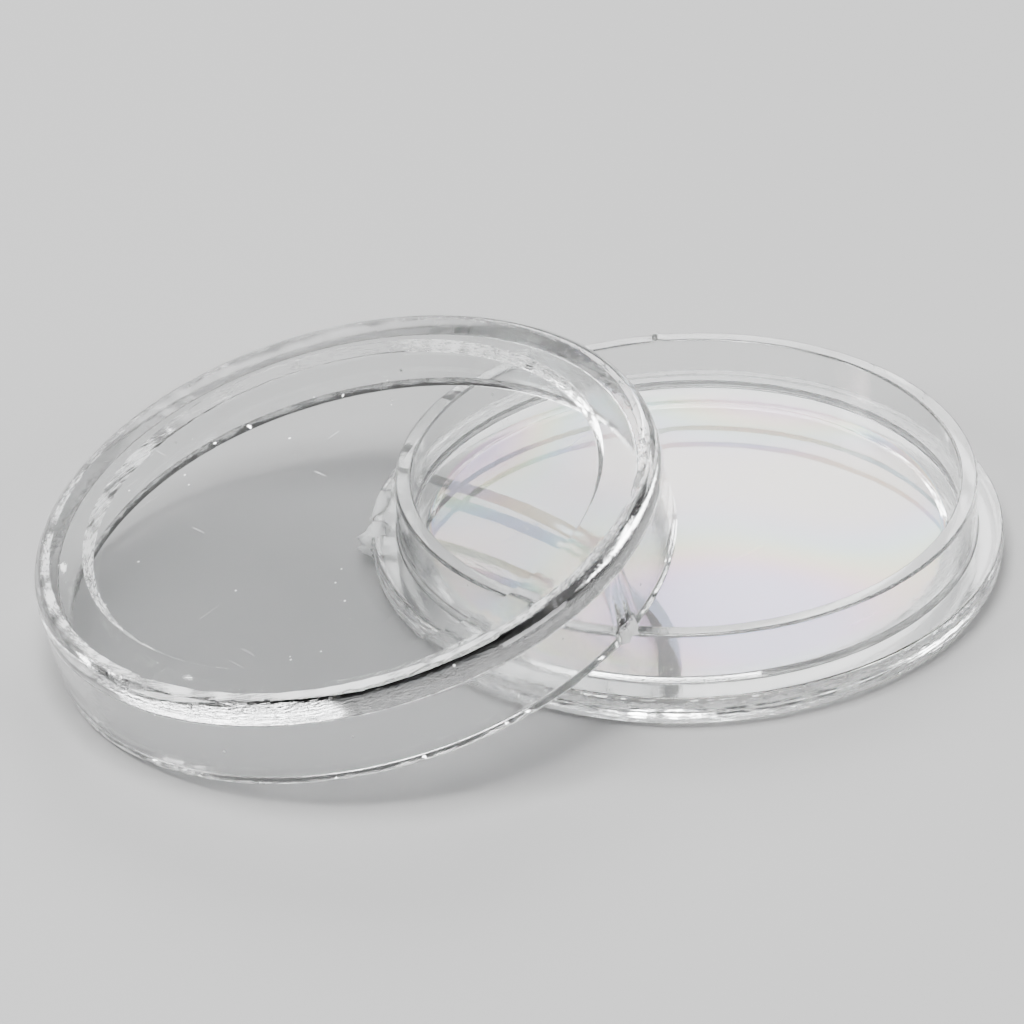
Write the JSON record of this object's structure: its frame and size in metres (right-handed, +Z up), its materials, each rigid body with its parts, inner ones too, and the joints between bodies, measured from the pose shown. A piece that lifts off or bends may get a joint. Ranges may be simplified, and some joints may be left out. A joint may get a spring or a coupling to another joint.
{
  "type": "coin capsule",
  "caption": "Round two-piece coin capsule in clear plastic, its cap-shaped lid leaning over the flanged base; the lid presses over the base's ring wall.",
  "frame": {"origin": "on the surface the pair stands on, under the middle of the pair's outline seen from above", "axes": "+Z up along the base's axis; +X along the pair, from the leaning lid towards the base; +Y completes the right-handed set"},
  "size_m": [0.0459, 0.0354, 0.0101],
  "materials": {
    "clear_plastic_base": "clear moulded polystyrene, glossy, with fine scuffs",
    "clear_plastic_lid": "clear moulded polystyrene, glossy, with fine scuffs"
  },
  "bodies": {
    "base": {"base": "clear_plastic_base"},
    "lid": {"lid": "clear_plastic_lid"}
  },
  "joints": [
    {"name": "lid_lift", "type": "slide", "parent": "base", "child": "lid", "axis": [-0.6, 0, 0.8], "range_m": [0, 0.03]}
  ]
}
